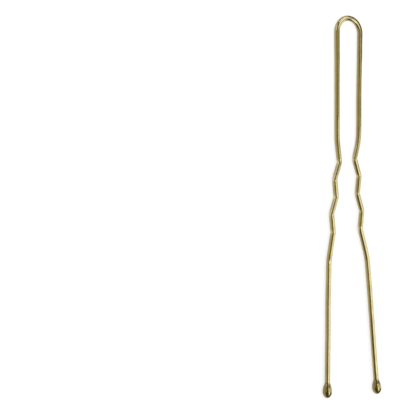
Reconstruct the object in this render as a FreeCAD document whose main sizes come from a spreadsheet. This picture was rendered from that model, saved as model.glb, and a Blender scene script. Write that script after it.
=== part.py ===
"""U-shaped hair pin: one bent, lacquered spring wire with a dipped resin tip on each end.

The wire is drawn as three lengths, the spring bow and two crimped legs, which meet where the legs flex.
The pin lies in the XY plane with its crown towards +Y and its tips towards -Y. The origin is the centre
of the crown's bend, in the middle of the wire. Sizes are in millimetres and degrees.
"""
import FreeCAD
import Part
import Sketcher
import math
import os

# Driving dimensions. A lean is measured from the pin's long axis, a run from bend corner to bend corner.
SIZES = [
    ("pin_length", 70.0, "overall, from the crown to the ends of the tips"),
    ("wire_diameter", 1.05, "spring wire over its lacquer"),
    ("bow_radius", 2.72, "crown bend, to the middle of the wire"),
    ("shank_toe", 0.55, "inward lean of each shank below the crown"),
    ("shank_run", 19.7, "crown bend to knee"),
    ("flex_drop", 6.0, "crown bend to the point that a leg flexes about"),
    ("soft_bend_radius", 12.0, "knee and kick bends, to the middle of the wire"),
    ("crimp_bend_radius", 1.3, "crimp bends, to the middle of the wire"),
    ("crimp_run", 3.3, "one straight of the crimped stretch"),
    ("crimp_out_lean", 19.1, "outward lean of every other crimp straight"),
    ("crimp_in_lean", 6.9, "inward lean of the crimp straights between them"),
    ("kick_run", 5.5, "outward straight after the crimps"),
    ("left_knee_run", 4.1, "inward straight before the crimps, left leg"),
    ("left_knee_lean", 7.4, "its inward lean"),
    ("left_kick_lean", 10.9, "outward lean after the crimps, left leg"),
    ("left_splay", 0.4, "outward lean of the left foot"),
    ("right_knee_run", 3.5, "inward straight before the crimps, right leg"),
    ("right_knee_lean", 14.8, "its inward lean"),
    ("right_kick_lean", 18.6, "outward lean after the crimps, right leg"),
    ("right_splay", 5.8, "outward lean of the right foot"),
    ("tip_diameter", 1.8, "widest ring of a dipped tip"),
    ("tip_length", 2.6, "lip to end"),
    ("tip_widest", 1.2, "end to widest ring"),
    ("tip_nose_radius", 0.65, "rounding of the end"),
    ("tip_lip", 0.04, "how far the lip stands off the wire"),
    ("tip_seat", 1.6, "length of wire held inside a tip"),
]
CRIMP_PAIRS = 2
BENDS = ["soft_bend_radius"] + ["crimp_bend_radius"] * (2 * CRIMP_PAIRS + 1) + ["soft_bend_radius"]
SIDES = {"left": -1, "right": 1}
QUARTER_TURN = 90
HALF_TURN = 180
Z_AXIS = FreeCAD.Vector(0, 0, 1)

# The sketcher's own numbers for the ends and centre of an element, and for the sketch's axes and origin.
START, END, CENTRE = range(1, 4)
AXIS_X, AXIS_Y = range(-1, -3, -1)
ROOT_POINT = (AXIS_X, START)


def make_sizes_sheet(doc):
    """The driving dimensions, one row each: name, value and meaning."""
    sheet = doc.addObject("Spreadsheet::Sheet", "sizes")
    for row, (alias, value, meaning) in enumerate(SIZES, start=1):
        sheet.set(f"A{row}", alias)
        sheet.set(f"B{row}", str(value))
        sheet.set(f"C{row}", meaning)
        sheet.setAlias(f"B{row}", alias)
    doc.recompute()
    return sheet


def leg_schedule(side):
    """Length and lean of each straight of a leg, from its flex point to the end of its wire."""
    last_corner_y = f"{side}_y_{len(BENDS)}"
    pin_end_y = "sizes.bow_radius + sizes.wire_diameter / 2 - sizes.pin_length"
    foot_run = f"({last_corner_y} - ({pin_end_y})) / cos(sizes.{side}_splay)"
    runs = [
        ("sizes.shank_run - sizes.flex_drop", "-sizes.shank_toe"),
        (f"sizes.{side}_knee_run", f"-sizes.{side}_knee_lean"),
    ]
    for _ in range(CRIMP_PAIRS):
        runs.append(("sizes.crimp_run", "sizes.crimp_out_lean"))
        runs.append(("sizes.crimp_run", "-sizes.crimp_in_lean"))
    runs.append(("sizes.kick_run", f"sizes.{side}_kick_lean"))
    runs.append((f"{foot_run} - (sizes.tip_length - sizes.tip_seat)", f"sizes.{side}_splay"))
    return runs


def make_bends_sheet(doc):
    """The bend schedule worked out from the sizes: each straight's length, lean and far corner."""
    sheet = doc.addObject("Spreadsheet::Sheet", "bends")
    row = 0

    def formula(alias, expression):
        nonlocal row
        row += 1
        sheet.set(f"A{row}", alias)
        sheet.set(f"B{row}", f"={expression}")
        sheet.setAlias(f"B{row}", alias)

    for side, sign in SIDES.items():
        formula(f"{side}_x_0", f"{sign} * (sizes.bow_radius * cos(sizes.shank_toe)"
                               " - sizes.flex_drop * sin(sizes.shank_toe))")
        formula(f"{side}_y_0", "-sizes.bow_radius * sin(sizes.shank_toe)"
                               " - sizes.flex_drop * cos(sizes.shank_toe)")
        for number, (length, lean) in enumerate(leg_schedule(side), start=1):
            formula(f"{side}_length_{number}", length)
            formula(f"{side}_lean_{number}", lean)
            formula(f"{side}_x_{number}", f"{side}_x_{number - 1}"
                                          f" + {sign} * {side}_length_{number} * sin({side}_lean_{number})")
            formula(f"{side}_y_{number}", f"{side}_y_{number - 1}"
                                          f" - {side}_length_{number} * cos({side}_lean_{number})")
    doc.recompute()
    return sheet


def new_body(doc, label):
    body = doc.addObject("PartDesign::Body", label)
    body.Label = label
    return body


def origin_feature(body, role):
    return next(feature for feature in body.Origin.OriginFeatures if feature.Role == role)


def new_sketch(body, name, plane):
    """An empty sketch on one of the body's origin planes."""
    sketch = body.newObject("Sketcher::SketchObject", name)
    sketch.AttachmentSupport = [(origin_feature(body, plane), "")]
    sketch.MapMode = "FlatFace"
    return sketch


def constrain(sketch, *definition):
    return sketch.addConstraint(Sketcher.Constraint(*definition))


def dimension(sketch, name, expression, *definition):
    """A named dimension whose value follows the sheets."""
    index = constrain(sketch, *definition)
    sketch.renameConstraint(index, name)
    sketch.setExpression(f"Constraints.{name}", expression)


def sized(sketch, alias, *definition):
    """A dimension named after one of the sizes and bound to it."""
    value = sketch.Document.sizes.get(alias)
    dimension(sketch, alias, f"sizes.{alias}", *definition, value)


def polar(angle, length=1.0):
    """A vector in the sketch plane, from its angle in degrees."""
    return FreeCAD.Vector(math.cos(math.radians(angle)), math.sin(math.radians(angle)), 0) * length


def arc(centre, radius, first, last):
    """A counterclockwise arc between two angles in degrees."""
    circle = Part.Circle(centre, Z_AXIS, radius)
    return Part.ArcOfCircle(circle, math.radians(first), math.radians(last))


def wire_section(body, plane, sizes):
    """The wire's round section at the origin of the plane, as a sketch and its circle's number."""
    sketch = new_sketch(body, f"{body.Name}_section", plane)
    circle = sketch.addGeometry(Part.Circle(FreeCAD.Vector(), Z_AXIS, sizes.wire_diameter / 2))
    sized(sketch, "wire_diameter", "Diameter", circle)
    return sketch, circle


def sweep(body, section, path):
    pipe = body.newObject("PartDesign::AdditivePipe", f"{body.Name}_wire")
    pipe.Profile = section
    pipe.Spine = (path, [f"Edge{number}" for number in range(1, len(path.Shape.Edges) + 1)])
    return pipe


def make_bow(doc, sizes):
    """The crown bend and the tops of both shanks: one half is swept, then mirrored."""
    body = new_body(doc, "spring_bow")
    path = new_sketch(body, "bow_path", "XY_Plane")
    shank_top = polar(-sizes.shank_toe, sizes.bow_radius)
    shank_angle = -QUARTER_TURN - sizes.shank_toe
    flex_point = shank_top + polar(shank_angle, sizes.flex_drop)
    bend = path.addGeometry(arc(FreeCAD.Vector(), sizes.bow_radius, -sizes.shank_toe, QUARTER_TURN))
    shank = path.addGeometry(Part.LineSegment(shank_top, flex_point))
    constrain(path, "Coincident", bend, CENTRE, *ROOT_POINT)
    constrain(path, "PointOnObject", bend, END, AXIS_Y)
    constrain(path, "Tangent", bend, START, shank, START)
    sized(path, "bow_radius", "Radius", bend)
    sized(path, "flex_drop", "Distance", shank)
    dimension(path, "shank_angle", f"-{QUARTER_TURN} - sizes.shank_toe",
              "Angle", shank, math.radians(shank_angle))

    section, circle = wire_section(body, "YZ_Plane", sizes)
    section.moveGeometry(circle, CENTRE, FreeCAD.Vector(sizes.bow_radius, 0, 0), False)
    constrain(section, "PointOnObject", circle, CENTRE, AXIS_X)
    sized(section, "bow_radius", "DistanceX", *ROOT_POINT, circle, CENTRE)
    doc.recompute()
    half = sweep(body, section, path)
    doc.recompute()
    mirrored = body.newObject("PartDesign::Mirrored", "bow_halves")
    mirrored.Originals = [half]
    mirrored.MirrorPlane = (origin_feature(body, "YZ_Plane"), [""])
    body.Tip = mirrored
    return body


def leg_path(body, side, sizes, bends):
    """A leg's centreline: straights joined by tangent bends, each straight set by its run and its lean.

    The body's +Y runs down the shank from the flex point, so the first straight lies on it.
    """
    sign = SIDES[side]
    path = new_sketch(body, f"{side}_path", "XY_Plane")
    count = len(BENDS) + 1
    numbers = range(1, count + 1)
    lengths = [bends.get(f"{side}_length_{number}") for number in numbers]
    leans = [bends.get(f"{side}_lean_{number}") for number in numbers]
    angles = [QUARTER_TURN + sign * (lean + sizes.shank_toe) for lean in leans]
    radii = [sizes.get(name) for name in BENDS]
    turns = [after - before for before, after in zip(angles, angles[1:])]
    half_turns = [math.radians(abs(turn)) / 2 for turn in turns]
    trims = [0] + [radius * math.tan(half) for radius, half in zip(radii, half_turns)] + [0]

    straights = []
    corners = []
    corner = FreeCAD.Vector()
    for length, angle, trim, next_trim in zip(lengths, angles, trims, trims[1:]):
        line = Part.LineSegment(corner + polar(angle, trim), corner + polar(angle, length - next_trim))
        straights.append(path.addGeometry(line))
        corner = corner + polar(angle, length)
        corners.append(corner)

    constrain(path, "Coincident", straights[0], START, *ROOT_POINT)
    from_point = (straights[0], START)
    for index, straight in enumerate(straights):
        number = index + 1
        angle_rule = f"{QUARTER_TURN} + {sign} * (bends.{side}_lean_{number} + sizes.shank_toe)"
        dimension(path, f"angle_{number}", angle_rule, "Angle", straight, math.radians(angles[index]))
        if number == count:
            to_point = (straight, END)
        else:
            following = straights[number]
            hand = math.copysign(QUARTER_TURN, turns[index])
            bend_start = corners[index] - polar(angles[index], trims[number])
            centre = bend_start + polar(angles[index] + hand, radii[index])
            first, last = sorted((angles[index] - hand, angles[number] - hand))
            bend = path.addGeometry(arc(centre, radii[index], first, last))
            near, far = (START, END) if hand > 0 else (END, START)
            constrain(path, "Tangent", straight, END, bend, near)
            constrain(path, "Tangent", bend, far, following, START)
            dimension(path, f"radius_{number}", f"sizes.{BENDS[index]}", "Radius", bend, radii[index])
            point = path.addGeometry(Part.Point(corners[index]), True)
            constrain(path, "PointOnObject", point, START, straight)
            constrain(path, "PointOnObject", point, START, following)
            to_point = (point, START)
        dimension(path, f"length_{number}", f"bends.{side}_length_{number}",
                  "Distance", *from_point, *to_point, lengths[index])
        from_point = to_point
    return path


def place(body, x, y, turn):
    """Puts a body in the pin's plane by expressions for its place and its turn about Z."""
    body.setExpression("Placement.Base.x", x)
    body.setExpression("Placement.Base.y", y)
    body.setExpression("Placement.Rotation.Angle", turn)


def make_leg(doc, side, sizes, bends):
    """A leg's wire from its flex point to its end inside the tip: shank, knee, crimps, kick and foot."""
    body = new_body(doc, f"{side}_leg")
    path = leg_path(body, side, sizes, bends)
    section, circle = wire_section(body, "XZ_Plane", sizes)
    constrain(section, "Coincident", circle, CENTRE, *ROOT_POINT)
    doc.recompute()
    sweep(body, section, path)
    place(body, f"bends.{side}_x_0", f"bends.{side}_y_0", f"{HALF_TURN} - {SIDES[side]} * sizes.shank_toe")
    return body


def make_tip(doc, side, sizes):
    """A teardrop tip revolved about the wire: nose, belly and shoulder arcs, and a blind seat for the wire.

    The body's origin is the end of the wire, its +Y points along the foot towards the nose.
    """
    body = new_body(doc, f"{side}_tip")
    profile = new_sketch(body, f"{side}_tip_profile", "XY_Plane")
    wire_radius = sizes.wire_diameter / 2
    tip_radius = sizes.tip_diameter / 2
    neck_radius = wire_radius + sizes.tip_lip
    nose = sizes.tip_length - sizes.tip_seat
    widest = nose - sizes.tip_widest

    nose_centre = FreeCAD.Vector(0, nose - sizes.tip_nose_radius, 0)
    rise = sizes.tip_widest - sizes.tip_nose_radius
    nose_radius = sizes.tip_nose_radius
    belly_radius = (tip_radius ** 2 + rise ** 2 - nose_radius ** 2) / 2 / (tip_radius - nose_radius)
    belly_centre = FreeCAD.Vector(tip_radius - belly_radius, widest, 0)
    joint_angle = math.degrees(math.atan2(rise, belly_radius - tip_radius))
    waist = tip_radius - neck_radius
    height = widest + sizes.tip_seat
    shoulder_radius = (waist ** 2 + height ** 2) / 2 / waist
    shoulder_centre = FreeCAD.Vector(tip_radius - shoulder_radius, widest, 0)
    shoulder_angle = math.degrees(math.asin(height / shoulder_radius))

    end = FreeCAD.Vector(0, nose, 0)
    seat_floor = FreeCAD.Vector(wire_radius, 0, 0)
    seat_mouth = FreeCAD.Vector(wire_radius, -sizes.tip_seat, 0)
    neck = FreeCAD.Vector(neck_radius, -sizes.tip_seat, 0)
    nose_arc = profile.addGeometry(arc(nose_centre, sizes.tip_nose_radius, joint_angle, QUARTER_TURN))
    belly = profile.addGeometry(arc(belly_centre, belly_radius, 0, joint_angle))
    shoulder = profile.addGeometry(arc(shoulder_centre, shoulder_radius, -shoulder_angle, 0))
    lip = profile.addGeometry(Part.LineSegment(neck, seat_mouth))
    seat_wall = profile.addGeometry(Part.LineSegment(seat_mouth, seat_floor))
    floor = profile.addGeometry(Part.LineSegment(seat_floor, FreeCAD.Vector()))
    axis = profile.addGeometry(Part.LineSegment(FreeCAD.Vector(), end))

    constrain(profile, "Coincident", axis, START, *ROOT_POINT)
    constrain(profile, "Vertical", axis)
    constrain(profile, "Coincident", axis, END, nose_arc, END)
    constrain(profile, "PointOnObject", nose_arc, CENTRE, AXIS_Y)
    constrain(profile, "Tangent", nose_arc, START, belly, END)
    constrain(profile, "Tangent", belly, START, shoulder, END)
    constrain(profile, "Horizontal", belly, CENTRE, belly, START)
    constrain(profile, "Coincident", shoulder, START, lip, START)
    constrain(profile, "Horizontal", lip)
    constrain(profile, "Coincident", lip, END, seat_wall, START)
    constrain(profile, "Vertical", seat_wall)
    constrain(profile, "Coincident", seat_wall, END, floor, START)
    constrain(profile, "Horizontal", floor)
    constrain(profile, "Coincident", floor, END, axis, START)
    sized(profile, "tip_nose_radius", "Radius", nose_arc)
    sized(profile, "tip_widest", "DistanceY", belly, START, nose_arc, END)
    sized(profile, "tip_length", "DistanceY", lip, START, nose_arc, END)
    sized(profile, "tip_seat", "DistanceY", seat_wall, START, seat_wall, END)
    sized(profile, "tip_lip", "DistanceX", lip, END, lip, START)
    dimension(profile, "tip_radius", "sizes.tip_diameter / 2",
              "DistanceX", *ROOT_POINT, belly, START, tip_radius)
    dimension(profile, "seat_radius", "sizes.wire_diameter / 2",
              "DistanceX", floor, END, floor, START, wire_radius)
    doc.recompute()

    drop = body.newObject("PartDesign::Revolution", f"{side}_tip_drop")
    drop.Profile = profile
    drop.ReferenceAxis = (profile, ["V_Axis"])
    drop.Angle = 2 * HALF_TURN
    foot = len(BENDS) + 1
    place(body, f"bends.{side}_x_{foot}", f"bends.{side}_y_{foot}",
          f"{HALF_TURN} + {SIDES[side]} * sizes.{side}_splay")
    return body


def check(doc, bodies):
    """Stops the build where an object failed or a body isn't one valid solid."""
    for item in doc.Objects:
        if "Invalid" in item.State or "Error" in item.State:
            raise RuntimeError(f"{item.Label} failed: {item.State}")
    for body in bodies:
        if body.Shape.isNull() or not body.Shape.isValid() or len(body.Shape.Solids) != 1:
            raise RuntimeError(f"{body.Label} is not one valid solid")


def main():
    doc = FreeCAD.newDocument("hair_pin")
    sizes = make_sizes_sheet(doc)
    bends = make_bends_sheet(doc)
    bodies = [make_bow(doc, sizes)]
    for side in SIDES:
        bodies.append(make_leg(doc, side, sizes, bends))
        bodies.append(make_tip(doc, side, sizes))
    doc.recompute()
    check(doc, bodies)
    os.makedirs("parts", exist_ok=True)
    for body in bodies:
        body.Shape.exportStep(f"parts/{body.Label}.step")
        print(f"{body.Label}: {body.Shape.Volume:.3f} mm3")


main()
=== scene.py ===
"""Looks of the U-shaped hair pin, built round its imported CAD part: the lacquered wire and its two tips.

Metres, in the CAD's own frame: the pin lies in the XY plane, crown towards +Y, tips towards -Y. The wire is
one length on the real pin. Here it is two halves that meet at the top of the crown, because each half bends
across one of the two flex joints.
"""

import math
from collections import namedtuple

import bpy
import numpy as np
from mathutils import Matrix, Vector, noise


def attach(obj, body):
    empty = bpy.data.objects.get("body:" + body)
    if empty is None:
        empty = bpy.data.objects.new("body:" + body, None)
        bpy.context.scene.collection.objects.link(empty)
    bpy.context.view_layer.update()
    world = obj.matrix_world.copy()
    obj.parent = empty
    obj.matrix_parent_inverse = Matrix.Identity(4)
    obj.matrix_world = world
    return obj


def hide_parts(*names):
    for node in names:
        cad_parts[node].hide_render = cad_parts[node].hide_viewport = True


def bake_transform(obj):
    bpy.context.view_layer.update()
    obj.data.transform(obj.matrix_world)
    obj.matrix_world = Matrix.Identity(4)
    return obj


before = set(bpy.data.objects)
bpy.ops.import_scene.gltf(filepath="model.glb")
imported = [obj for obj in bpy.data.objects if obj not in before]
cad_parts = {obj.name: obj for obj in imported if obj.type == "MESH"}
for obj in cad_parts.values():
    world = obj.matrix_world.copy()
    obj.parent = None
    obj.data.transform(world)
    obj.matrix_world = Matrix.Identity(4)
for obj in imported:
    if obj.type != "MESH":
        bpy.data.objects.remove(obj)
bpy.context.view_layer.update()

MM = 0.001
SIDES = {"left": -1, "right": 1}

# Driving sizes of the CAD source. A lean is measured from the pin's long axis, outwards.
PIN_LENGTH = 70.0 * MM
WIRE_RADIUS = 0.525 * MM
BOW_RADIUS = 2.72 * MM
SHANK_TOE = math.radians(0.55)
SHANK_RUN = 19.7 * MM
SOFT_BEND_RADIUS = 12.0 * MM
CRIMP_BEND_RADIUS = 1.3 * MM
CRIMP_RUN = 3.3 * MM
CRIMP_OUT_LEAN = math.radians(19.1)
CRIMP_IN_LEAN = math.radians(6.9)
CRIMP_PAIRS = 2
KICK_RUN = 5.5 * MM
KNEE_RUN = {"left": 4.1 * MM, "right": 3.5 * MM}
KNEE_LEAN = {"left": math.radians(7.4), "right": math.radians(14.8)}
KICK_LEAN = {"left": math.radians(10.9), "right": math.radians(18.6)}
SPLAY = {"left": math.radians(0.4), "right": math.radians(5.8)}
TIP_RADIUS = 0.9 * MM
TIP_LENGTH = 2.6 * MM
TIP_WIDEST = 1.2 * MM
TIP_NOSE_RADIUS = 0.65 * MM
TIP_LIP = 0.04 * MM
TIP_SEAT = 1.6 * MM

# Marks of the crimping die: a dent in each bend's hollow, which wraps past the top of the wire, and a flat
# on the bend's back. A fade is a power: the higher it is, the sooner a mark ends round the wire.
DIE_REACH = 0.4 * MM
DIE_WRAP = 0.5
DIE_DENT = 0.025 * MM
DENT_FADE = 2
DIE_FLAT = 0.03 * MM
FLAT_FADE = 8
# The paler colour patch at each crimp bend is partly lacquer worn by the die and partly a painted highlight.
WEAR_AND_GLINT_FADE = 3

# Unevenness of the wire and its lacquer. The wire's waviness is two waves, the second faster and smaller.
LACQUER_RIPPLE = 0.006 * MM
LACQUER_RIPPLE_LENGTH = 2.4 * MM
OUT_OF_PLANE_WOBBLE = 0.03 * MM
WOBBLE_LENGTH = 17.0 * MM
SECOND_WAVE_SHARE = 0.6
SECOND_WAVE_RATE = 1.7
SECOND_WAVE_START = 1.0
MENISCUS_RISE = 0.3 * MM
TIP_INSET = 0.006 * MM

# Mesh fineness.
STATION_STEP = 0.1 * MM
WIRE_SIDES = 48
TIP_SIDES = 72
TIP_ARC_STEPS = 24

# The photograph's camera, fitted to the pin. It stands to the left, and the pin is on the frame's right.
FRAME_PIXELS = 400
AIM_POINT = Vector((0.57, -31.78, 0.0)) * MM
AIM_PIXEL = (350.0, 206.0)
CAMERA_DISTANCE = 275.0 * MM
PIXEL_AT_PIN = 0.1847 * MM
CAMERA_SLANT = math.radians(40.0)
PIN_ROLL = math.radians(0.37)
SENSOR_WIDTH = 36.0

# The white table. The lift is its own brightness, for the eye and for reflections; the rest is lamplight.
FLOOR_SIZE = 3.0
FLOOR_GAP = 0.002 * MM
FLOOR_COLOUR = 0.2
FLOOR_LIFT = 0.82

# The dim warm studio and the soft boxes in it. Places and sizes are in millimetres, a level is a radiance.
# The rays named in hide don't see a box: the fill lights the table, and the others show in glossy surfaces.
STUDIO_COLOUR = (0.22, 0.175, 0.065)
WHITE = (1.0, 1.0, 1.0)
DAYLIGHT = (0.92, 1.0, 1.15)
WARM = (1.03, 1.0, 0.66)
DOWN = (0, 0, -1)
RIGHTWARD = (1, 0, 0)
LEFTWARD = (-1, 0, 0)
TIPWARD = (0, -1, 0)
SoftBox = namedtuple("SoftBox", "place faces size level colour hide")
SOFT_BOXES = {
    "fill_box": SoftBox((0, -30, 600), DOWN, (800, 800), 2.3, WHITE, "glossy"),
    "glint_box": SoftBox((16, -105, 129), DOWN, (40, 20), 5.0, DAYLIGHT, "diffuse"),
    "bend_box": SoftBox((-22, -35, 128), DOWN, (44, 5), 7.0, DAYLIGHT, "diffuse"),
    "feet_box": SoftBox((40, -70, 130), DOWN, (140, 60), 1.75, DAYLIGHT, "diffuse"),
    "far_box": SoftBox((55, -160, 130), DOWN, (110, 120), 1.8, DAYLIGHT, "diffuse"),
    "knee_box": SoftBox((55, -25, 130), DOWN, (110, 30), 1.5, DAYLIGHT, "diffuse"),
    "shank_box": SoftBox((2, 5, 130), DOWN, (65, 30), 0.9, DAYLIGHT, "diffuse"),
    "crown_box": SoftBox((62, 68, 130), DOWN, (115, 85), 2.0, DAYLIGHT, "diffuse"),
    "side_box": SoftBox((175, -55, 130), DOWN, (130, 60), 1.0, DAYLIGHT, "diffuse"),
    "back_box": SoftBox((12, 170, 97), TIPWARD, (195, 65), 2.4, DAYLIGHT, "diffuse"),
    "left_box": SoftBox((-150, 105, 65), RIGHTWARD, (130, 130), 1.1, DAYLIGHT, "diffuse"),
    "low_box": SoftBox((-150, -25, 65), RIGHTWARD, (130, 130), 0.45, WARM, "diffuse"),
    "right_box": SoftBox((240, -45, 65), LEFTWARD, (130, 130), 1.8, DAYLIGHT, "diffuse"),
}
WATTS_PER_AREA = 4.0


def new_object(name, mesh, material):
    """A mesh object in the scene, with one material."""
    mesh.materials.append(material)
    piece = bpy.data.objects.new(name, mesh)
    bpy.context.scene.collection.objects.link(piece)
    return piece


def leg_runs(side):
    """Length and lean of each straight from the crown's bend to the end of the wire."""
    runs = [(SHANK_RUN, -SHANK_TOE), (KNEE_RUN[side], -KNEE_LEAN[side])]
    runs += [(CRIMP_RUN, CRIMP_OUT_LEAN), (CRIMP_RUN, -CRIMP_IN_LEAN)] * CRIMP_PAIRS
    runs.append((KICK_RUN, KICK_LEAN[side]))
    last_corner_y = -BOW_RADIUS * math.sin(SHANK_TOE) - sum(run * math.cos(lean) for run, lean in runs)
    pin_end_y = BOW_RADIUS + WIRE_RADIUS - PIN_LENGTH
    foot = (last_corner_y - pin_end_y) / math.cos(SPLAY[side]) - (TIP_LENGTH - TIP_SEAT)
    runs.append((foot, SPLAY[side]))
    return runs


def half_wire_line(side):
    """The middle of one wire half, from the crown's top to the wire's end.

    Returns the stations as rows of x, y, lean and length so far, and the crimp bends as pairs of the length
    at the bend's middle and the hand it turns to: 1 where its hollow faces outwards, -1 inwards.
    """
    sign = SIDES[side]
    runs = leg_runs(side)
    leans = [math.pi / 2] + [lean for _, lean in runs]
    radii = [BOW_RADIUS, SOFT_BEND_RADIUS]
    radii += [CRIMP_BEND_RADIUS] * (2 * CRIMP_PAIRS + 1)
    radii.append(SOFT_BEND_RADIUS)
    turns = [after - before for before, after in zip(leans, leans[1:])]
    trims = [0.0] + [radius * math.tan(abs(turn) / 2) for radius, turn in zip(radii[1:], turns[1:])] + [0.0]

    x, y, along = 0.0, BOW_RADIUS, 0.0
    stations = [(x, y, leans[0], along)]
    crimps = []
    for number, (run, lean) in enumerate(runs):
        radius, turn, start_lean = radii[number], turns[number], leans[number]
        bend_length = radius * abs(turn)
        if radius == CRIMP_BEND_RADIUS:
            crimps.append((along + bend_length / 2, math.copysign(1, turn)))
        count = math.ceil(bend_length / STATION_STEP)
        reach = math.copysign(radius, turn)
        for step in range(1, count + 1):
            now = start_lean + turn * step / count
            dx = reach * (math.cos(start_lean) - math.cos(now))
            dy = -reach * (math.sin(now) - math.sin(start_lean))
            stations.append((x + sign * dx, y + dy, now, along + bend_length * step / count))
        x, y, _, along = stations[-1]
        straight = run - trims[number] - trims[number + 1]
        count = math.ceil(straight / STATION_STEP)
        for step in range(1, count + 1):
            gone = straight * step / count
            dx, dy = gone * math.sin(lean), -gone * math.cos(lean)
            stations.append((x + sign * dx, y + dy, lean, along + gone))
        x, y, _, along = stations[-1]
    return np.array(stations), crimps


def wire_grid():
    """Rings of points over the whole wire, from the left end over the crown to the right end.

    Returns the points, each point's place on the straightened wire in millimetres, a mask of the paler patch
    at each crimp bend (lacquer worn by the die, and partly a painted highlight), and the number of the ring
    at the crown's top.
    """
    left, left_crimps = half_wire_line("left")
    right, right_crimps = half_wire_line("right")
    stations = np.vstack([left[::-1] * [1, 1, 1, -1], right[1:]])
    signs = np.where(np.arange(len(stations)) < len(left), -1.0, 1.0)
    crimps = [(-middle, hand) for middle, hand in left_crimps] + right_crimps
    crown_ring = len(left) - 1

    around = np.linspace(0, 2 * math.pi, WIRE_SIDES, endpoint=False)
    lean, along = stations[:, 2], stations[:, 3]
    outward = np.stack([signs * np.cos(lean), np.sin(lean), np.zeros(len(lean))], axis=1)
    upward = np.array([0.0, 0.0, 1.0])

    facing = np.cos(around)
    shrink = np.zeros((len(stations), WIRE_SIDES))
    wear_and_glint = np.zeros_like(shrink)
    for middle, hand in crimps:
        near = np.exp(-((along - middle) / DIE_REACH) ** 2)[:, None]
        hollow = np.clip((hand * facing + DIE_WRAP) / (1 + DIE_WRAP), 0, 1)[None, :]
        back = np.clip(-hand * facing, 0, 1)[None, :]
        shrink += DIE_DENT * near * hollow ** DENT_FADE + DIE_FLAT * near * back ** FLAT_FADE
        # Mask of the paler bend patch: die wear, and partly a painted highlight at the bends.
        wear_and_glint += near * (hollow ** WEAR_AND_GLINT_FADE + back ** WEAR_AND_GLINT_FADE)

    reach = np.abs(along)
    fade = np.clip(reach / WOBBLE_LENGTH, 0, 1) * np.clip((reach.max() - reach) / WOBBLE_LENGTH, 0, 1)
    phase = 2 * math.pi * along / WOBBLE_LENGTH
    second_wave = SECOND_WAVE_SHARE * np.sin(SECOND_WAVE_RATE * phase + SECOND_WAVE_START)
    wobble = OUT_OF_PLANE_WOBBLE * fade * (np.sin(phase) + second_wave)

    points = np.zeros((len(stations), WIRE_SIDES, 3))
    places = np.zeros_like(points)
    for ring, station in enumerate(stations):
        centre = np.array([station[0], station[1], wobble[ring]])
        for side, angle in enumerate(around):
            place = Vector((WIRE_RADIUS * math.cos(angle), WIRE_RADIUS * math.sin(angle), along[ring]))
            ripple = 0.5 + 0.5 * noise.noise(place / LACQUER_RIPPLE_LENGTH)
            radius = WIRE_RADIUS - shrink[ring, side] - LACQUER_RIPPLE * ripple
            direction = math.cos(angle) * outward[ring] + math.sin(angle) * upward
            points[ring, side] = centre + radius * direction
            places[ring, side] = place / MM
    return points, places, np.clip(wear_and_glint, 0, 1), crown_ring


def grid_normals(points):
    """Normals of a closed grid of rings, from the differences between neighbouring points."""
    along = np.gradient(points, axis=0)
    around = np.roll(points, -1, axis=1) - np.roll(points, 1, axis=1)
    normals = np.cross(around, along)
    return normals / np.linalg.norm(normals, axis=2, keepdims=True)


def tube_mesh(name, points, normals):
    """A closed tube over rings of points, with a flat disc on each end and the given normals on its wall."""
    rings, sides, _ = points.shape
    vertices = points.reshape(-1, 3).tolist()
    faces = []
    for ring in range(rings - 1):
        first, second = ring * sides, (ring + 1) * sides
        for side in range(sides):
            after = (side + 1) % sides
            faces.append((first + side, first + after, second + after, second + side))
    wall_faces = len(faces)
    for ring, flip in ((0, False), (rings - 1, True)):
        middle = len(vertices)
        vertices.append(points[ring].mean(axis=0).tolist())
        for side in range(sides):
            here, after = ring * sides + side, ring * sides + (side + 1) % sides
            faces.append((middle, here, after) if flip else (middle, after, here))
    mesh = bpy.data.meshes.new(name)
    mesh.from_pydata(vertices, [], faces)
    wall = normals.reshape(-1, 3)
    loop_normals = []
    for face in mesh.polygons:
        face.use_smooth = face.index < wall_faces
        for vertex in face.vertices:
            loop_normals.append(tuple(wall[vertex]) if face.use_smooth else (0.0, 0.0, 0.0))
    mesh.normals_split_custom_set(loop_normals)
    return mesh


def store_point_values(mesh, name, kind, values):
    """A named value on every point of the wall; the middles of the end discs get none."""
    attribute = mesh.attributes.new(name, kind, "POINT")
    for item, value in zip(attribute.data, values):
        if kind == "FLOAT":
            item.value = float(value)
        else:
            item.vector = value


def make_wire(material):
    """Both wire halves, cut from one grid at the crown's top, so that no seam shows there."""
    points, places, wear_and_glint, crown_ring = wire_grid()
    normals = grid_normals(points)
    spans = {"left": slice(0, crown_ring + 1), "right": slice(crown_ring, len(points))}
    for side, span in spans.items():
        mesh = tube_mesh(f"{side}_wire", points[span], normals[span])
        store_point_values(mesh, "wire_place", "FLOAT_VECTOR", places[span].reshape(-1, 3))
        # The paler bend patch's mask, partly die wear and partly a painted highlight.
        store_point_values(mesh, "die_wear_and_glint", "FLOAT", wear_and_glint[span].ravel())
        piece = new_object(f"{side}_wire", mesh, material)
        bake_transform(piece)
        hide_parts("spring_bow", f"{side}_leg")


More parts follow.
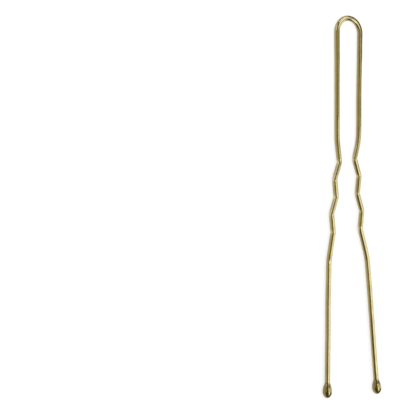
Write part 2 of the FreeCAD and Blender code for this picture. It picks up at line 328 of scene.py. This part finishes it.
def tip_profile():
    """Radius and height of a tip's outline: from its nose up to the lip, then down its seat to the floor.

    Height is measured from the end of the wire towards the nose. The arcs are the CAD's: nose, belly and
    shoulder. Above the lip the lacquer runs out on the wire in a hollow curve.
    """
    nose = TIP_LENGTH - TIP_SEAT - TIP_INSET
    widest = nose - TIP_WIDEST
    rise = TIP_WIDEST - TIP_NOSE_RADIUS
    belly_radius = (TIP_RADIUS ** 2 + rise ** 2 - TIP_NOSE_RADIUS ** 2) / 2 / (TIP_RADIUS - TIP_NOSE_RADIUS)
    joint_angle = math.atan2(rise, belly_radius - TIP_RADIUS)
    neck_radius = WIRE_RADIUS + TIP_LIP
    waist = TIP_RADIUS - neck_radius
    height = widest + TIP_SEAT
    shoulder_radius = (waist ** 2 + height ** 2) / 2 / waist
    shoulder_angle = math.asin(height / shoulder_radius)

    def arc(radius, centre_radius, centre_height, first, last):
        """Points of an arc between two angles, without its last one."""
        for angle in np.linspace(first, last, TIP_ARC_STEPS, endpoint=False):
            yield centre_radius + radius * math.cos(angle), centre_height + radius * math.sin(angle)

    outline = list(arc(TIP_NOSE_RADIUS, 0, nose - TIP_NOSE_RADIUS, math.pi / 2, joint_angle))
    outline += arc(belly_radius, TIP_RADIUS - belly_radius, widest, joint_angle, 0)
    outline += arc(shoulder_radius, TIP_RADIUS - shoulder_radius, widest, 0, -shoulder_angle)
    for share in np.linspace(0, 1, TIP_ARC_STEPS):
        outline.append((WIRE_RADIUS + TIP_LIP * (1 - share) ** 2, -TIP_SEAT - MENISCUS_RISE * share))
    outline.append((WIRE_RADIUS, 0.0))
    return outline


def make_tip(side, material):
    """A dipped tip: the profile turned about the foot's line, with the slight unevenness of a dried drop."""
    sign = SIDES[side]
    line, _ = half_wire_line(side)
    wire_end = Vector((line[-1][0], line[-1][1], 0))
    down = Vector((sign * math.sin(SPLAY[side]), -math.cos(SPLAY[side]), 0))
    outward = Vector((sign * math.cos(SPLAY[side]), math.sin(SPLAY[side]), 0))
    upward = Vector((0, 0, 1))
    profile = tip_profile()
    vertices = [wire_end + down * profile[0][1]]
    for radius, height in profile[1:]:
        for step in range(TIP_SIDES):
            angle = 2 * math.pi * step / TIP_SIDES
            direction = outward * math.cos(angle) + upward * math.sin(angle)
            uneven = 0.5 + 0.5 * noise.noise((direction * radius + down * height * sign) / TIP_RADIUS)
            inset = TIP_INSET + LACQUER_RIPPLE * uneven
            drop = inset * (radius - WIRE_RADIUS) / (TIP_RADIUS - WIRE_RADIUS)
            vertices.append(wire_end + down * height + direction * (radius - max(drop, 0)))
    last = len(vertices)
    vertices.append(wire_end)

    faces = []
    rings = len(profile) - 1
    for step in range(TIP_SIDES):
        after = (step + 1) % TIP_SIDES
        faces.append((0, 1 + step, 1 + after))
        for ring in range(rings - 1):
            first, second = 1 + ring * TIP_SIDES, 1 + (ring + 1) * TIP_SIDES
            faces.append((first + step, second + step, second + after, first + after))
        floor = 1 + (rings - 1) * TIP_SIDES
        faces.append((floor + step, last, floor + after))
    if sign < 0:
        faces = [tuple(reversed(face)) for face in faces]
    mesh = bpy.data.meshes.new(f"{side}_drop")
    mesh.from_pydata(vertices, [], faces)
    for face in mesh.polygons:
        face.use_smooth = True
    piece = new_object(f"{side}_drop", mesh, material)
    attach(piece, f"{side}_side")
    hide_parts(f"{side}_tip")


class Shader:
    """A material's node tree with short calls to add and link nodes."""

    def __init__(self, name):
        self.material = bpy.data.materials.new(name)
        self.material.use_nodes = True
        self.tree = self.material.node_tree
        self.surface = self.tree.nodes["Principled BSDF"]

    def node(self, kind, inputs=None, **settings):
        """A new node, with its inputs linked or set and its own settings."""
        made = self.tree.nodes.new(kind)
        for key, value in settings.items():
            setattr(made, key, value)
        for key, value in (inputs or {}).items():
            if isinstance(value, bpy.types.NodeSocket):
                self.tree.links.new(value, made.inputs[key])
            else:
                made.inputs[key].default_value = value
        return made

    def ramp(self, source, stops):
        """The colour output of a ramp over a source, from pairs of position and colour."""
        made = self.node("ShaderNodeValToRGB", {"Fac": source})
        elements = made.color_ramp.elements
        while len(elements) < len(stops):
            elements.new(0.5)
        for element, (position, colour) in zip(elements, stops):
            element.position = position
            element.color = (*colour, 1.0)
        return made.outputs["Color"]

    def link(self, output, socket):
        """Feeds one of the surface's sockets from a node."""
        self.tree.links.new(output, self.surface.inputs[socket])

    def fix(self, values):
        """Sets the surface's sockets that are the same all over."""
        for socket, value in values.items():
            self.surface.inputs[socket].default_value = value


def wire_lacquer():
    """Bronze-gold lacquer on drawn wire: draw lines, clouds of tone, and a paler patch at each crimp bend,
    partly die wear and partly a painted highlight.
    """
    shader = Shader("wire_lacquer")
    place = shader.node("ShaderNodeAttribute", attribute_name="wire_place").outputs["Vector"]
    wear_and_glint = shader.node("ShaderNodeAttribute", attribute_name="die_wear_and_glint").outputs["Fac"]
    clouds = shader.node("ShaderNodeTexNoise", {"Vector": place, "Scale": 0.55, "Detail": 4.0})
    tone = shader.ramp(clouds.outputs["Fac"], [
        (0.3, (0.26, 0.193, 0.037)), (0.5, (0.30, 0.225, 0.045)), (0.7, (0.34, 0.258, 0.058))])
    stretched = shader.node("ShaderNodeMapping", {"Vector": place, "Scale": (4.0, 4.0, 0.12)})
    lines = shader.node("ShaderNodeTexNoise", {"Vector": stretched.outputs["Vector"], "Scale": 1.0,
                                               "Detail": 3.0})
    flakes = shader.node("ShaderNodeTexNoise", {"Vector": place, "Scale": 22.0, "Detail": 2.0})
    # Paler colour at the crimp bends: lacquer worn by the die, and partly a painted highlight in place of
    # the glints there.
    worn_and_glint = shader.node("ShaderNodeMath", {0: wear_and_glint, 1: clouds.outputs["Fac"]}, operation="MULTIPLY")
    colour = shader.node("ShaderNodeMix", {"Factor": worn_and_glint.outputs[0], "A": tone, "B": (0.7, 0.63, 0.36, 1)},
                         data_type="RGBA")
    shader.link(colour.outputs["Result"], "Base Color")
    roughness = shader.node("ShaderNodeMapRange", {"Value": lines.outputs["Fac"], "From Min": 0.3,
                                                   "From Max": 0.7, "To Min": 0.14, "To Max": 0.26})
    shader.link(roughness.outputs["Result"], "Roughness")
    relief = shader.node("ShaderNodeMath", {0: flakes.outputs["Fac"], 1: 0.2, 2: lines.outputs["Fac"]},
                         operation="MULTIPLY_ADD")
    bump = shader.node("ShaderNodeBump", {"Height": relief.outputs[0], "Strength": 0.3,
                                          "Distance": 0.01 * MM})
    shader.link(bump.outputs["Normal"], "Normal")
    shader.fix({"Metallic": 1.0, "Coat Weight": 1.0, "Coat IOR": 2.0, "Coat Roughness": 0.05})
    return shader.material


def tip_lacquer():
    """The same lacquer over a resin drop: glossier, with a faint orange-peel skin and no draw lines."""
    shader = Shader("tip_lacquer")
    place = shader.node("ShaderNodeTexCoord").outputs["Object"]
    clouds = shader.node("ShaderNodeTexNoise", {"Vector": place, "Scale": 700.0, "Detail": 4.0})
    tone = shader.ramp(clouds.outputs["Fac"], [
        (0.3, (0.165, 0.121, 0.02)), (0.5, (0.19, 0.14, 0.025)), (0.7, (0.215, 0.16, 0.032))])
    shader.link(tone, "Base Color")
    roughness = shader.node("ShaderNodeMapRange", {"Value": clouds.outputs["Fac"], "From Min": 0.3,
                                                   "From Max": 0.7, "To Min": 0.08, "To Max": 0.15})
    shader.link(roughness.outputs["Result"], "Roughness")
    peel = shader.node("ShaderNodeTexNoise", {"Vector": place, "Scale": 5000.0, "Detail": 2.0})
    bump = shader.node("ShaderNodeBump", {"Height": peel.outputs["Fac"], "Strength": 0.08,
                                          "Distance": 0.01 * MM})
    shader.link(bump.outputs["Normal"], "Normal")
    shader.fix({"Metallic": 1.0, "Coat Weight": 1.0, "Coat IOR": 1.6, "Coat Roughness": 0.04})
    return shader.material


def make_floor():
    """A white table that the pin lies on: it touches both tips and the crown, so it leans very slightly."""
    shader = Shader("white_table")
    shader.fix({"Base Color": (FLOOR_COLOUR,) * 3 + (1,), "Roughness": 0.8, "Specular IOR Level": 0.1,
                "Emission Color": (1, 1, 1, 1)})
    rays = shader.node("ShaderNodeLightPath").outputs
    seen = shader.node("ShaderNodeMath", {0: rays["Is Camera Ray"], 1: rays["Is Glossy Ray"]},
                       operation="MAXIMUM")
    seen = shader.node("ShaderNodeMath", {0: seen.outputs[0], 1: rays["Is Transmission Ray"]},
                       operation="MAXIMUM")
    lift = shader.node("ShaderNodeMath", {0: seen.outputs[0], 1: FLOOR_LIFT}, operation="MULTIPLY")
    shader.link(lift.outputs[0], "Emission Strength")

    half = FLOOR_SIZE / 2
    corners = [(-half, -half, 0), (half, -half, 0), (half, half, 0), (-half, half, 0)]
    mesh = bpy.data.meshes.new("table")
    mesh.from_pydata(corners, [], [(0, 1, 2, 3)])
    floor = new_object("table", mesh, shader.material)
    tip_y = BOW_RADIUS + WIRE_RADIUS - PIN_LENGTH + TIP_WIDEST
    slope = math.atan2(TIP_RADIUS - WIRE_RADIUS, BOW_RADIUS - tip_y)
    floor.matrix_world = (Matrix.Translation((0, tip_y, -TIP_RADIUS - FLOOR_GAP))
                          @ Matrix.Rotation(slope, 4, "X"))


def make_lights():
    """A dim warm studio with an even light from above, and soft boxes whose glints show in the lacquer."""
    world = bpy.data.worlds.new("studio")
    world.use_nodes = True
    world.node_tree.nodes["Background"].inputs["Color"].default_value = (*STUDIO_COLOUR, 1)
    bpy.context.scene.world = world
    for name, box in SOFT_BOXES.items():
        lamp = bpy.data.lights.new(name, "AREA")
        lamp.shape = "RECTANGLE"
        lamp.size, lamp.size_y = (side * MM for side in box.size)
        lamp.energy = WATTS_PER_AREA * box.level * lamp.size * lamp.size_y
        lamp.color = box.colour
        piece = bpy.data.objects.new(name, lamp)
        piece.location = Vector(box.place) * MM
        piece.rotation_euler = Vector(box.faces).to_track_quat("-Z", "Y").to_euler()
        setattr(piece, f"visible_{box.hide}", False)
        bpy.context.scene.collection.objects.link(piece)


def make_camera():
    """The photograph's camera: the aim point lands on its pixel, and the pin's length runs up the frame."""
    focal_pixels = CAMERA_DISTANCE / PIXEL_AT_PIN
    back = Vector((-math.sin(CAMERA_SLANT), 0, math.cos(CAMERA_SLANT)))
    up = Vector((0, 1, 0))
    facing = Matrix((up.cross(back), up, back)).transposed()
    middle = FRAME_PIXELS / 2
    ray = Vector((AIM_PIXEL[0] - middle, middle - AIM_PIXEL[1], -focal_pixels))
    turn = Vector((0, 0, -1)).rotation_difference(ray).to_matrix()
    roll = Matrix.Rotation(PIN_ROLL, 3, "Z")
    lens = bpy.data.cameras.new("photo_camera")
    lens.sensor_width = SENSOR_WIDTH
    lens.lens = SENSOR_WIDTH * focal_pixels / FRAME_PIXELS
    lens.clip_start, lens.clip_end = 0.01, 10.0
    camera = bpy.data.objects.new("photo_camera", lens)
    camera.matrix_world = (Matrix.Translation(AIM_POINT + roll @ back * CAMERA_DISTANCE)
                           @ (roll @ facing @ turn.transposed()).to_4x4())
    bpy.context.scene.collection.objects.link(camera)
    bpy.context.scene.camera = camera


bpy.context.scene.view_settings.view_transform = "Standard"
make_wire(wire_lacquer())
tip_material = tip_lacquer()
for side_name in SIDES:
    make_tip(side_name, tip_material)
make_floor()
make_lights()
make_camera()
